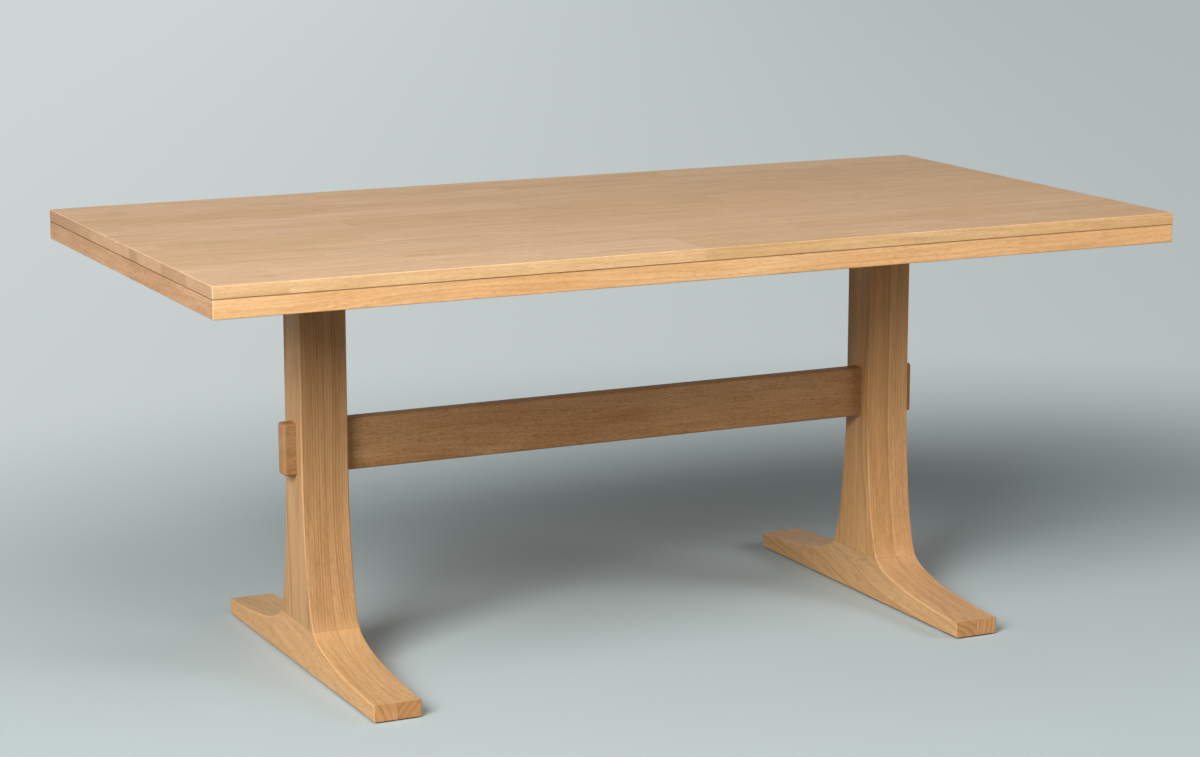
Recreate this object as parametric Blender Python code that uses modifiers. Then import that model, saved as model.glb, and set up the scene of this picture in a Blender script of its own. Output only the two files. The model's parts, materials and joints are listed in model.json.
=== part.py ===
"""A trestle dining table in solid wood.

A panel of glued boards with a band under its rim lies on two flared pedestals. One stretcher ties
them, running through both posts. Units are metres, +Z is up, +X runs along the table, the front is
at -Y, and the origin is on the floor under the table's middle.
"""

import math

import bmesh
import bpy
from mathutils import Matrix

# Overall sizes
TOP_LENGTH = 1.800
TOP_WIDTH = 0.915
TABLE_HEIGHT = 0.770
GLUE_GAP = 0.0003

# Top panel: stock widths of its boards, laid from the back edge, the last one ripped to fit
BOARD_WIDTHS = (0.085, 0.082, 0.094, 0.093, 0.130, 0.046, 0.127, 0.063, 0.067, 0.128)
NARROWEST_BOARD = 0.030
PANEL_THICKNESS = 0.0205
PANEL_EASE = 0.0015

# Band under the panel's rim, with a shadow groove along its upper outside edge
BAND_HEIGHT = 0.0325
BAND_WIDTH = 0.060
BAND_EASE = 0.0015
GROOVE_HEIGHT = 0.0024
GROOVE_DEPTH = 0.003

# Bearers on the posts and the batten between them
BEARER_WIDTH = 0.080
BEARER_HEIGHT = 0.045
BEARER_END_HEIGHT = 0.024
RAIL_TAPER = 0.100
RAIL_END_CLEARANCE = 0.030
BATTEN_WIDTH = 0.070
BATTEN_HEIGHT = 0.025
BATTEN_END_HEIGHT = 0.015
RAIL_EASE = 0.003

# Posts and feet, each of two boards side by side
TOP_OVERHANG = 0.2905
POST_WIDTH = 0.087
POST_DEPTH = 0.080
PEDESTAL_EASE = 0.003
FOOT_LENGTH = 0.728
FOOT_END_HEIGHT = 0.029

# The pedestal's outline: a flare down to the seam with the foot, then the foot's instep
FLARE_TOP = 0.400
FLARE_SPREAD = 0.042
FLARE_TOP_PULL = 0.165
FLARE_SEAM_PULL = 0.025
SEAM_HEIGHT = 0.083
SEAM_SLOPE = math.radians(46.0)
INSTEP_SEAM_PULL = 0.042
INSTEP_END_PULL = 0.152
INSTEP_END_SLOPE = math.radians(2.2)

# Stretcher with its through tenons
STRETCHER_THICKNESS = 0.032
STRETCHER_HEIGHT = 0.092
STRETCHER_MIDDLE = 0.394
STRETCHER_ROUND = 0.0045
TENON_PROUD = 0.022

# Dowels
DOWEL_DIAMETER = 0.012
DOWEL_LENGTH = 0.060
DOWEL_CHAMFER = 0.0015
BEARER_DOWEL_SPREAD = 0.040
FOOT_DOWEL_SPREAD = 0.090

# Bolts and threaded inserts
BOLT_DIAMETER = 0.008
HEAD_DIAMETER = 0.017
HEAD_HEIGHT = 0.003
HEAD_ROUND = 0.0008
HEAD_CLEARANCE = 0.0005
SOCKET_WIDTH = 0.005
SOCKET_DEPTH = 0.0045
INSERT_WALL = 0.0017
INSERT_LENGTH = 0.014
INSERT_CHAMFER = 0.0006
INSERT_ENGAGEMENT = 0.011
HEAD_RECESS = 0.0036
BEARER_RECESS = 0.018
TOP_BOLT_INSET = 0.160

# Levellers
PAD_DIAMETER = 0.030
PAD_THICKNESS = 0.0025
PAD_ROUND = 0.0008
LEVELLER_STEM = 0.018
STEM_CHAMFER = 0.001
STEM_HEADROOM = 0.003
LEVELLER_INSET = 0.040

# Facets
CURVE_STEPS = 12
EASE_SEGMENTS = 2
ROUND_SEGMENTS = 3
TURN_STEPS = 16
SMOOTH_ANGLE = math.radians(30.0)
FLAT_ANGLE = math.radians(0.05)
CUT_MARGIN = 0.010
SAME_PLACE = 0.00001

# Places that follow from the sizes above
PANEL_UNDERSIDE = TABLE_HEIGHT - PANEL_THICKNESS
RAIL_TOP = PANEL_UNDERSIDE - GLUE_GAP
RAIL_LENGTH = TOP_WIDTH - 2 * BAND_WIDTH - 2 * RAIL_END_CLEARANCE
TOP_BOLT_OFFSET = RAIL_LENGTH / 2 - TOP_BOLT_INSET
POST_TOP = RAIL_TOP - BEARER_HEIGHT - GLUE_GAP
PEDESTAL_OFFSET = TOP_LENGTH / 2 - TOP_OVERHANG - POST_WIDTH / 2
FOOT_BASE = PAD_THICKNESS + GLUE_GAP
FOOT_TOP = SEAM_HEIGHT - GLUE_GAP
SEAM_HALF_DEPTH = POST_DEPTH / 2 + FLARE_SPREAD
LEVELLER_OFFSET = FOOT_LENGTH / 2 - LEVELLER_INSET
INSERT_RADIUS = BOLT_DIAMETER / 2 + GLUE_GAP + INSERT_WALL

# An outline drawn in its own X and Y stands up in the table's Y and Z
UPRIGHT = Matrix(((0, 0, 1, 0), (1, 0, 0, 0), (0, 1, 0, 0), (0, 0, 0, 1)))


def new_collection(name):
    collection = bpy.data.collections.new(name)
    bpy.context.scene.collection.children.link(collection)
    return collection


def new_material(name, colour, roughness, metallic=0.0):
    material = bpy.data.materials.new(name)
    material.use_nodes = True
    shader = material.node_tree.nodes["Principled BSDF"]
    shader.inputs["Base Color"].default_value = (*colour, 1.0)
    shader.inputs["Roughness"].default_value = roughness
    shader.inputs["Metallic"].default_value = metallic
    return material


def add_part(name, mesh, material, parent=None, matrix=None):
    """A visible piece of the table, placed by matrix in its parent's frame."""
    part = bpy.data.objects.new(name, mesh)
    part.parent = parent
    part.matrix_basis = matrix or Matrix()
    mesh.materials.clear()
    mesh.materials.append(material)
    PARTS.objects.link(part)
    return part


def add_cutter(name, mesh, parent=None, matrix=None):
    cutter = bpy.data.objects.new(name, mesh)
    cutter.parent = parent
    cutter.matrix_basis = matrix or Matrix()
    cutter.hide_render = True
    cutter.display_type = "WIRE"
    CUTTERS.objects.link(cutter)
    return cutter


def cut(part, cutter):
    boolean = part.modifiers.new(cutter.name, "BOOLEAN")
    boolean.operation = "DIFFERENCE"
    boolean.solver = "EXACT"
    boolean.object = cutter


def finished_mesh(obj, name):
    """The object's mesh with its modifiers or curve applied. The object is removed."""
    bpy.context.view_layer.update()
    graph = bpy.context.evaluated_depsgraph_get()
    mesh = bpy.data.meshes.new_from_object(obj.evaluated_get(graph))
    mesh.name = name
    bpy.data.objects.remove(obj)
    return mesh


def smooth(mesh):
    mesh.shade_smooth()
    mesh.set_sharp_from_angle(angle=SMOOTH_ANGLE)
    return mesh


def box_mesh(name, size):
    mesh = bpy.data.meshes.new(name)
    bm = bmesh.new()
    bmesh.ops.create_cube(bm, size=1.0, matrix=Matrix.Diagonal((*size, 1.0)))
    bm.to_mesh(mesh)
    bm.free()
    return mesh


def outline_mesh(name, knots, thickness):
    """A closed flat outline, thickened evenly to both sides of its plane.

    Each knot is (point, handle before, handle after). A handle of None makes that side straight.
    """
    curve = bpy.data.curves.new(name, "CURVE")
    curve.dimensions = "2D"
    curve.fill_mode = "BOTH"
    curve.extrude = thickness / 2
    curve.resolution_u = CURVE_STEPS
    spline = curve.splines.new("BEZIER")
    spline.bezier_points.add(len(knots) - 1)
    spline.use_cyclic_u = True
    for knot, (point, before, after) in zip(spline.bezier_points, knots):
        knot.co = (*point, 0.0)
        knot.handle_left_type = "VECTOR" if before is None else "FREE"
        knot.handle_right_type = "VECTOR" if after is None else "FREE"
        knot.handle_left = (*(before or point), 0.0)
        knot.handle_right = (*(after or point), 0.0)
    drawn = bpy.data.objects.new(name, curve)
    PARTS.objects.link(drawn)
    mesh = finished_mesh(drawn, name)
    bm = bmesh.new()
    bm.from_mesh(mesh)
    bmesh.ops.remove_doubles(bm, verts=bm.verts, dist=SAME_PLACE)
    bmesh.ops.dissolve_limit(bm, angle_limit=FLAT_ANGLE, verts=bm.verts, edges=bm.edges)
    bmesh.ops.recalc_face_normals(bm, faces=bm.faces)
    bm.to_mesh(mesh)
    bm.free()
    return mesh


def turned_mesh(name, profile, closed=False):
    """A shape turned about Z, from (radius, height) points that run down its outer side."""
    mesh = bpy.data.meshes.new(name)
    points = [(radius, 0.0, height) for radius, height in profile]
    edges = [(n, n + 1) for n in range(len(points) - 1)]
    if closed:
        edges.append((len(points) - 1, 0))
    mesh.from_pydata(points, edges, [])
    blank = bpy.data.objects.new(name, mesh)
    CUTTERS.objects.link(blank)
    screw = blank.modifiers.new("Turn", "SCREW")
    screw.angle = math.tau
    screw.steps = TURN_STEPS
    screw.render_steps = TURN_STEPS
    screw.use_merge_vertices = True
    screw.merge_threshold = SAME_PLACE
    return finished_mesh(blank, name)


def round_cutter_mesh(name, steps):
    """A stepped hole's cutter from (radius, low, high) cylinders stacked downwards on Z."""
    profile = [(0.0, steps[0][2])]
    for radius, low, high in steps:
        profile.append((radius, high))
        profile.append((radius, low))
    profile.append((0.0, steps[-1][1]))
    return turned_mesh(name, profile)


def ease(part, width, wanted, segments=EASE_SEGMENTS):
    """Rounds each edge of the part for which wanted(one end, other end) is true."""
    bm = bmesh.new()
    bm.from_mesh(part.data)
    weight = bm.edges.layers.float.new("bevel_weight_edge")
    for edge in bm.edges:
        first, second = (vert.co for vert in edge.verts)
        edge[weight] = float(wanted(first, second))
    bm.to_mesh(part.data)
    bm.free()
    bevel = part.modifiers.new("Ease", "BEVEL")
    bevel.limit_method = "WEIGHT"
    bevel.width = width
    bevel.segments = segments
    smooth(part.data)


def near(value, other):
    return abs(value - other) < SAME_PLACE


def shift(x=0.0, y=0.0, z=0.0):
    return Matrix.Translation((x, y, z))


# Hardware


def dowel_mesh():
    radius = DOWEL_DIAMETER / 2
    half = DOWEL_LENGTH / 2
    profile = (
        (0.0, half),
        (radius - DOWEL_CHAMFER, half),
        (radius, half - DOWEL_CHAMFER),
        (radius, DOWEL_CHAMFER - half),
        (radius - DOWEL_CHAMFER, -half),
        (0.0, -half),
    )
    return smooth(turned_mesh("dowel", profile))


def dowel_hole_mesh():
    half = DOWEL_LENGTH / 2 + GLUE_GAP
    return round_cutter_mesh("dowel hole", [(DOWEL_DIAMETER / 2 + GLUE_GAP, -half, half)])


def bolt_mesh(name, length):
    """A flat-headed bolt that points up from its head's seat at Z = 0, with a hexagon socket."""
    head = HEAD_DIAMETER / 2
    shank = BOLT_DIAMETER / 2
    profile = (
        (0.0, length),
        (shank - STEM_CHAMFER, length),
        (shank, length - STEM_CHAMFER),
        (shank, 0.0),
        (head, 0.0),
        (head, HEAD_ROUND - HEAD_HEIGHT),
        (head - HEAD_ROUND, -HEAD_HEIGHT),
        (0.0, -HEAD_HEIGHT),
    )
    bolt = bpy.data.objects.new(name, turned_mesh(name, profile))
    PARTS.objects.link(bolt)
    socket = bpy.data.meshes.new("socket")
    bm = bmesh.new()
    across_corners = SOCKET_WIDTH / math.cos(math.pi / 6)
    bmesh.ops.create_cone(
        bm,
        cap_ends=True,
        segments=6,
        radius1=across_corners / 2,
        radius2=across_corners / 2,
        depth=2 * SOCKET_DEPTH,
        matrix=shift(z=-HEAD_HEIGHT),
    )
    bm.to_mesh(socket)
    bm.free()
    cutter = add_cutter(name + " socket", socket)
    cut(bolt, cutter)
    mesh = finished_mesh(bolt, name)
    bpy.data.objects.remove(cutter)
    return smooth(mesh)


def bolt_hole_mesh(name, thickness, recess):
    """The stepped hole for a bolt, from Z = 0 on the far face down to its head's recess."""
    seat = recess - thickness
    shank = (BOLT_DIAMETER / 2 + GLUE_GAP, seat, CUT_MARGIN)
    head = (HEAD_DIAMETER / 2 + HEAD_CLEARANCE, -thickness - CUT_MARGIN, seat)
    return round_cutter_mesh(name, [shank, head])


def insert_mesh():
    """A threaded insert whose mouth is at Z = 0 and which goes up into the wood."""
    bore = BOLT_DIAMETER / 2 + GLUE_GAP
    profile = (
        (bore, INSERT_LENGTH),
        (INSERT_RADIUS - INSERT_CHAMFER, INSERT_LENGTH),
        (INSERT_RADIUS, INSERT_LENGTH - INSERT_CHAMFER),
        (INSERT_RADIUS, 0.0),
        (bore, 0.0),
    )
    return smooth(turned_mesh("insert", profile, closed=True))


def insert_hole_mesh(name, stem=0.0):
    """The blind hole for an insert, with a narrower bore above it where a stem needs one."""
    socket = (INSERT_RADIUS + GLUE_GAP, -CUT_MARGIN, INSERT_LENGTH + GLUE_GAP)
    if stem <= INSERT_LENGTH + GLUE_GAP:
        return round_cutter_mesh(name, [socket])
    bore = (BOLT_DIAMETER / 2 + GLUE_GAP, INSERT_LENGTH + GLUE_GAP, stem)
    return round_cutter_mesh(name, [bore, socket])


def leveller_mesh():
    """A one-piece leveller: a round pad on the floor at Z = 0 with a stem that screws into the foot."""
    stem = BOLT_DIAMETER / 2
    pad = PAD_DIAMETER / 2
    top = PAD_THICKNESS + LEVELLER_STEM
    profile = (
        (0.0, top),
        (stem - STEM_CHAMFER, top),
        (stem, top - STEM_CHAMFER),
        (stem, PAD_THICKNESS),
        (pad - PAD_ROUND, PAD_THICKNESS),
        (pad, PAD_THICKNESS - PAD_ROUND),
        (pad, PAD_ROUND),
        (pad - PAD_ROUND, 0.0),
        (0.0, 0.0),
    )
    return smooth(turned_mesh("leveller", profile))


# Top


def board_edges():
    """The Y of each board's two sides, from the back edge to the front edge of the panel."""
    edges = []
    back = TOP_WIDTH / 2
    while back > NARROWEST_BOARD - TOP_WIDTH / 2:
        stock = BOARD_WIDTHS[len(edges) % len(BOARD_WIDTHS)]
        front = back - stock
        if front < NARROWEST_BOARD - TOP_WIDTH / 2:
            front = -TOP_WIDTH / 2
        edges.append((back, front))
        back = front
    return edges


def add_top_boards(fixings):
    """The panel's boards, bored from below for the inserts at the fixings' (x, y) places."""
    half_length = TOP_LENGTH / 2
    half_width = TOP_WIDTH / 2
    reach = INSERT_RADIUS + GLUE_GAP

    def on_rim(first, second):
        at_end = near(abs(first.x), half_length) and near(first.x, second.x)
        at_side = near(abs(first.y), half_width) and near(first.y, second.y)
        upright = near(first.y, second.y) and near(first.x, second.x)
        return at_side or (at_end and not upright)

    hole = insert_hole_mesh("panel insert hole")
    holes = []
    for n, (x, y) in enumerate(fixings, 1):
        holes.append((y, add_cutter(f"panel insert hole {n}", hole, matrix=shift(x, y, PANEL_UNDERSIDE))))
    for n, (back, front) in enumerate(board_edges(), 1):
        back -= 0.0 if near(back, half_width) else GLUE_GAP / 2
        front += 0.0 if near(front, -half_width) else GLUE_GAP / 2
        name = f"top_board_{n}"
        mesh = box_mesh(name, (TOP_LENGTH, back - front, PANEL_THICKNESS))
        middle = (back + front) / 2
        mesh.transform(shift(0.0, middle, PANEL_UNDERSIDE + PANEL_THICKNESS / 2))
        board = add_part(name, mesh, WOODS["panel"])
        ease(board, PANEL_EASE, on_rim)
        for y, cutter in holes:
            if front < y + reach and back > y - reach:
                cut(board, cutter)


def add_band(name, length, distance, turn):
    """One mitred length of the band, its outside at the given distance from the table's middle."""
    end = length / 2 - GLUE_GAP
    inner = distance - BAND_WIDTH
    corners = (
        (-end, -distance),
        (end, -distance),
        (end - BAND_WIDTH, -inner),
        (BAND_WIDTH - end, -inner),
    )
    mesh = outline_mesh(name, [(corner, None, None) for corner in corners], BAND_HEIGHT)
    middle = RAIL_TOP - BAND_HEIGHT / 2
    place = Matrix.Rotation(turn, 4, "Z") @ shift(z=middle)
    band = add_part(name, mesh, WOODS["band"], matrix=place)

    def lower_outside(first, second):
        outside = near(first.y, -distance) and near(second.y, -distance)
        return outside and near(first.z, second.z) and first.z < 0.0

    ease(band, BAND_EASE, lower_outside)
    groove_size = (length + CUT_MARGIN, 2 * GROOVE_DEPTH, 2 * GROOVE_HEIGHT)
    groove_place = place @ shift(0.0, -distance, BAND_HEIGHT / 2)
    groove = box_mesh(name + " groove", groove_size)
    cut(band, add_cutter(name + " groove", groove, matrix=groove_place))


def add_bands():
    half_length = TOP_LENGTH / 2
    half_width = TOP_WIDTH / 2
    add_band("front_edge_band", TOP_LENGTH, half_width, 0.0)
    add_band("right_edge_band", TOP_WIDTH, half_length, math.pi / 2)
    add_band("back_edge_band", TOP_LENGTH, half_width, math.pi)
    add_band("left_edge_band", TOP_WIDTH, half_length, -math.pi / 2)


def rail_outline(height, end_height):
    """A rail seen from its end: flat on top at 0, its underside rising towards each end."""
    half = RAIL_LENGTH / 2
    corners = (
        (-half, 0.0),
        (-half, -end_height),
        (RAIL_TAPER - half, -height),
        (half - RAIL_TAPER, -height),
        (half, -end_height),
        (half, 0.0),
    )
    return [(corner, None, None) for corner in corners]


def add_rail(name, width, height, end_height, recess, x):
    """A bearer or batten across the panel, with its two bolts and their inserts."""
    mesh = outline_mesh(name, rail_outline(height, end_height), width)
    mesh.transform(UPRIGHT)
    rail = add_part(name, mesh, WOODS["rail"], matrix=shift(x, 0.0, RAIL_TOP))

    def lower_side(first, second):
        return near(first.x, second.x) and first.z < 0.0 and second.z < 0.0

    ease(rail, RAIL_EASE, lower_side)
    hole = bolt_hole_mesh(name + " bolt hole", height, recess)
    length = height - recess + GLUE_GAP + INSERT_ENGAGEMENT
    bolt = bolt_mesh(name + " bolt", length)
    for end, y in (("back", TOP_BOLT_OFFSET), ("front", -TOP_BOLT_OFFSET)):
        cut(rail, add_cutter(f"{name} {end} bolt hole", hole, matrix=shift(x, y, RAIL_TOP)))
        seat = RAIL_TOP - height + recess - GLUE_GAP
        add_part(f"{name}_{end}_bolt", bolt, STEEL, matrix=shift(x, y, seat))
        add_part(f"{name}_{end}_insert", INSERT, BRASS, matrix=shift(x, y, PANEL_UNDERSIDE))
    return rail


# Pedestals


def seam_handles(side, height):
    """The seam's corner on one side, with the ends of its flare and instep handles."""
    corner = (side * SEAM_HALF_DEPTH, height)
    along = (side * math.cos(SEAM_SLOPE), -math.sin(SEAM_SLOPE))
    flare = tuple(c - FLARE_SEAM_PULL * a for c, a in zip(corner, along))
    instep = tuple(c + INSTEP_SEAM_PULL * a for c, a in zip(corner, along))
    return corner, flare, instep


def post_outline():
    half = POST_DEPTH / 2
    right, right_flare, _ = seam_handles(1, SEAM_HEIGHT)
    left, left_flare, _ = seam_handles(-1, SEAM_HEIGHT)
    pulled = FLARE_TOP - FLARE_TOP_PULL
    return [
        ((-half, POST_TOP), None, None),
        ((-half, FLARE_TOP), None, (-half, pulled)),
        (left, left_flare, None),
        (right, None, right_flare),
        ((half, FLARE_TOP), (half, pulled), None),
        ((half, POST_TOP), None, None),
    ]


def foot_outline():
    half = FOOT_LENGTH / 2
    end_top = FOOT_BASE + FOOT_END_HEIGHT
    handle = half - INSTEP_END_PULL * math.cos(INSTEP_END_SLOPE)
    handle_height = end_top + INSTEP_END_PULL * math.sin(INSTEP_END_SLOPE)
    right, _, right_instep = seam_handles(1, FOOT_TOP)
    left, _, left_instep = seam_handles(-1, FOOT_TOP)
    return [
        ((-half, FOOT_BASE), None, None),
        ((half, FOOT_BASE), None, None),
        ((half, end_top), None, (handle, handle_height)),
        (right, right_instep, None),
        (left, None, left_instep),
        ((-half, end_top), (-handle, handle_height), None),
    ]


def add_halves(name, outline, stand, eased):
    """Two boards side by side that make up a post or a foot. Returns both."""
    thickness = (POST_WIDTH - GLUE_GAP) / 2
    halves = []
    for half, side in (("outer", -1), ("inner", 1)):
        mesh = outline_mesh(f"{name}_{half}_half", outline, thickness)
        mesh.transform(shift(side * (thickness + GLUE_GAP) / 2) @ UPRIGHT)
        board = add_part(f"{name}_{half}_half", mesh, WOODS["pedestal"], stand)
        face = side * POST_WIDTH / 2

        def on_outside(first, second):
            on_face = near(first.x, face) and near(second.x, face)
            return eased(first, second, on_face)

        ease(board, PEDESTAL_EASE, on_outside)
        halves.append(board)
    return halves


def add_dowels(name, stand, joints, height, spread):
    """One dowel for each half of a post, across its joint at the given height."""
    for n, (side, pieces) in enumerate(zip((-1, 1), joints), 1):
        place = shift(side * POST_WIDTH / 4, side * spread / 2, height)
        hole = add_cutter(f"{name} dowel hole {n}", DOWEL_HOLE, stand, place)
        for piece in pieces:
            cut(piece, hole)
        add_part(f"{name}_dowel_{n}", DOWEL, WOODS["dowel"], stand, place)


def add_levellers(side_name, stand, halves, turned):
    """A leveller and its insert under each end of a foot."""
    stem = LEVELLER_STEM - GLUE_GAP + STEM_HEADROOM
    hole = insert_hole_mesh(side_name + " leveller hole", stem)
    for y in (-LEVELLER_OFFSET, LEVELLER_OFFSET):
        end = "front" if (y < 0) != turned else "back"
        place = shift(0.0, y, FOOT_BASE)
        cutter = add_cutter(f"{side_name} {end} leveller hole", hole, stand, place)
        for half in halves:
            cut(half, cutter)
        add_part(f"{side_name}_{end}_leveller_insert", INSERT, BRASS, stand, place)
        add_part(f"{side_name}_{end}_leveller", LEVELLER, NYLON, stand, shift(0.0, y, 0.0))


def add_lock_bolt(side_name, stand, post_inner, stretcher, rear):
    """The bolt from a post's back face into an insert in the stretcher's tenon."""
    wall = (POST_DEPTH - STRETCHER_THICKNESS) / 2
    tenon_face = rear * STRETCHER_THICKNESS / 2
    aim = Matrix.Rotation(rear * math.pi / 2, 4, "X")
    x = POST_WIDTH / 4
    hole_place = shift(x, tenon_face, STRETCHER_MIDDLE) @ aim
    hole = bolt_hole_mesh(side_name + " lock bolt hole", wall, HEAD_RECESS)
    cut(post_inner, add_cutter(side_name + " lock bolt hole", hole, stand, hole_place))
    insert_hole = insert_hole_mesh(side_name + " tenon insert hole")
    cut(stretcher, add_cutter(side_name + " tenon insert hole", insert_hole, stand, hole_place))
    add_part(side_name + "_tenon_insert", INSERT, BRASS, stand, hole_place)
    bolt = bolt_mesh(side_name + " lock bolt", wall - HEAD_RECESS + INSERT_ENGAGEMENT)
    seat = tenon_face + rear * (wall - HEAD_RECESS + GLUE_GAP)
    add_part(side_name + "_lock_bolt", bolt, STEEL, stand, shift(x, seat, STRETCHER_MIDDLE) @ aim)


def add_pedestal(side_name, side, bearer, stretcher):
    """A post, its foot and what joins them. In its own frame the table's outside is at -X."""
    stand = bpy.data.objects.new(side_name + "_pedestal", None)
    turned = side > 0
    stand.matrix_basis = shift(side * PEDESTAL_OFFSET) @ Matrix.Rotation(math.pi * turned, 4, "Z")
    PARTS.objects.link(stand)

    def post_edge(first, second, on_face):
        level = near(first.z, second.z)
        return on_face and not level

    def foot_edge(first, second, on_face):
        at_seam = near(first.z, FOOT_TOP) and near(second.z, FOOT_TOP)
        tip = near(abs(first.y), FOOT_LENGTH / 2) and near(first.y, second.y)
        return (on_face and not at_seam) or (tip and near(first.z, second.z))

    posts = add_halves(side_name + "_post", post_outline(), stand, post_edge)
    feet = add_halves(side_name + "_foot", foot_outline(), stand, foot_edge)
    mortise_size = (
        POST_WIDTH + CUT_MARGIN,
        STRETCHER_THICKNESS + 2 * GLUE_GAP,
        STRETCHER_HEIGHT + 2 * GLUE_GAP,
    )
    mesh = box_mesh(side_name + " mortise", mortise_size)
    mortise = add_cutter(side_name + " mortise", mesh, stand, shift(z=STRETCHER_MIDDLE))

    def lengthwise(first, second):
        return not near(first.x, second.x)

    ease(mortise, STRETCHER_ROUND + GLUE_GAP, lengthwise, ROUND_SEGMENTS)
    for post in posts:
        cut(post, mortise)
    on_bearer = [(bearer, post) for post in posts]
    on_foot = list(zip(posts, feet))
    add_dowels(side_name + "_bearer", stand, on_bearer, POST_TOP, BEARER_DOWEL_SPREAD)
    add_dowels(side_name + "_foot", stand, on_foot, SEAM_HEIGHT, FOOT_DOWEL_SPREAD)
    add_levellers(side_name, stand, feet, turned)
    rear = -1 if turned else 1
    add_lock_bolt(side_name, stand, posts[1], stretcher, rear)


def add_stretcher():
    length = 2 * (PEDESTAL_OFFSET + POST_WIDTH / 2 + TENON_PROUD)
    mesh = box_mesh("stretcher", (length, STRETCHER_THICKNESS, STRETCHER_HEIGHT))
    stretcher = add_part("stretcher", mesh, WOODS["stretcher"], matrix=shift(z=STRETCHER_MIDDLE))

    def every_edge(first, second):
        return True

    ease(stretcher, STRETCHER_ROUND, every_edge, ROUND_SEGMENTS)
    return stretcher


def add_table():
    add_bands()
    left_bearer = add_rail(
        "left_bearer", BEARER_WIDTH, BEARER_HEIGHT, BEARER_END_HEIGHT, BEARER_RECESS, -PEDESTAL_OFFSET
    )
    right_bearer = add_rail(
        "right_bearer", BEARER_WIDTH, BEARER_HEIGHT, BEARER_END_HEIGHT, BEARER_RECESS, PEDESTAL_OFFSET
    )
    add_rail("centre_batten", BATTEN_WIDTH, BATTEN_HEIGHT, BATTEN_END_HEIGHT, HEAD_RECESS, 0.0)
    fixings = []
    for x in (-PEDESTAL_OFFSET, 0.0, PEDESTAL_OFFSET):
        fixings.extend(((x, TOP_BOLT_OFFSET), (x, -TOP_BOLT_OFFSET)))
    add_top_boards(fixings)
    stretcher = add_stretcher()
    add_pedestal("left", -1, left_bearer, stretcher)
    add_pedestal("right", 1, right_bearer, stretcher)


for leftover in list(bpy.data.objects):
    bpy.data.objects.remove(leftover)
PARTS = new_collection("trestle_dining_table")
CUTTERS = new_collection("cutters")
WOODS = {
    "panel": new_material("panel wood", (0.60, 0.40, 0.24), 0.42),
    "band": new_material("band wood", (0.68, 0.44, 0.22), 0.42),
    "rail": new_material("rail wood", (0.50, 0.32, 0.17), 0.55),
    "pedestal": new_material("pedestal wood", (0.50, 0.30, 0.14), 0.45),
    "stretcher": new_material("stretcher wood", (0.42, 0.24, 0.11), 0.45),
    "dowel": new_material("dowel wood", (0.70, 0.52, 0.32), 0.60),
}
STEEL = new_material("zinc plated steel", (0.55, 0.55, 0.56), 0.35, 1.0)
BRASS = new_material("insert brass", (0.62, 0.46, 0.20), 0.40, 1.0)
NYLON = new_material("leveller nylon", (0.05, 0.04, 0.035), 0.60)
DOWEL = dowel_mesh()
DOWEL_HOLE = dowel_hole_mesh()
INSERT = insert_mesh()
LEVELLER = leveller_mesh()
add_table()
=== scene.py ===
"""The looks of the trestle table: finer wooden pieces, hardware, grain, floor, light and camera."""

import json
import math

import bmesh
import bpy
from mathutils import Matrix, Vector

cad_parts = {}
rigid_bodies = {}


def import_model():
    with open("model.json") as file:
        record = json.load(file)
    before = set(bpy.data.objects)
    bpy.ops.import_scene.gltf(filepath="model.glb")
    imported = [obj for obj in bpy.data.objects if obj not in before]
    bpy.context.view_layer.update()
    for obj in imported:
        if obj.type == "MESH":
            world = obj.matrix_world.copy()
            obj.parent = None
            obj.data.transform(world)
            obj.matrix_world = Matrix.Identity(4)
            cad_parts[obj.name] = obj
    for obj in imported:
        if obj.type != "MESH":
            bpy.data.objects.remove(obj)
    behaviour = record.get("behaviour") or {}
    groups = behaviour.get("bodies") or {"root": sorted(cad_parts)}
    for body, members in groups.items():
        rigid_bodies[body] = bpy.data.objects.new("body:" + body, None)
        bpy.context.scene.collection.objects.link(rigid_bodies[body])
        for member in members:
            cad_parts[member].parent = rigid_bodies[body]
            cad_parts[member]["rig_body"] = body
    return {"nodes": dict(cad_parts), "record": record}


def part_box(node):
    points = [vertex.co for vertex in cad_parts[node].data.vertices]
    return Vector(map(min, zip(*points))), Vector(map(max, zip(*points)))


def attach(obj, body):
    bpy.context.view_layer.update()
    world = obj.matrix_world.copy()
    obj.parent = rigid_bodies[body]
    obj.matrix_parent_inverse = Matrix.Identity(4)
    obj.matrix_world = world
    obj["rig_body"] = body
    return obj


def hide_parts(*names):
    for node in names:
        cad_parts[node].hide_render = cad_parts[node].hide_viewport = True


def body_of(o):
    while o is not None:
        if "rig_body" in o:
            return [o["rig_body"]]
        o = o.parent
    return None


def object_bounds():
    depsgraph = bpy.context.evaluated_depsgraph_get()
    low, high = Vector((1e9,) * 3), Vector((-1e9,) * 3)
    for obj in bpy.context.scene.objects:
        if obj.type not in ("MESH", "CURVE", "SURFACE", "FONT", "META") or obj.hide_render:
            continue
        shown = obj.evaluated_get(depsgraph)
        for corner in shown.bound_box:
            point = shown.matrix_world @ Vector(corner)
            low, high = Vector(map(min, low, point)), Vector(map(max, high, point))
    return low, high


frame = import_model()
cad_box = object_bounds()

# Sizes, in metres, that the frame's boxes do not give
GLUE_GAP = 0.0003
PANEL_EASE = 0.0016
PANEL_LOWER_EASE = 0.0006
CORNER_ROUND = 0.0026
BAND_EASE = 0.0018
BAND_WIDTH = 0.060
GROOVE_HEIGHT = 0.0012
GROOVE_DEPTH = 0.002
GLUE_LINE = 0.0004
PEDESTAL_EASE = 0.0035
STRETCHER_ROUND = 0.0045
MORTISE_CLEARANCE = 0.0003

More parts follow.
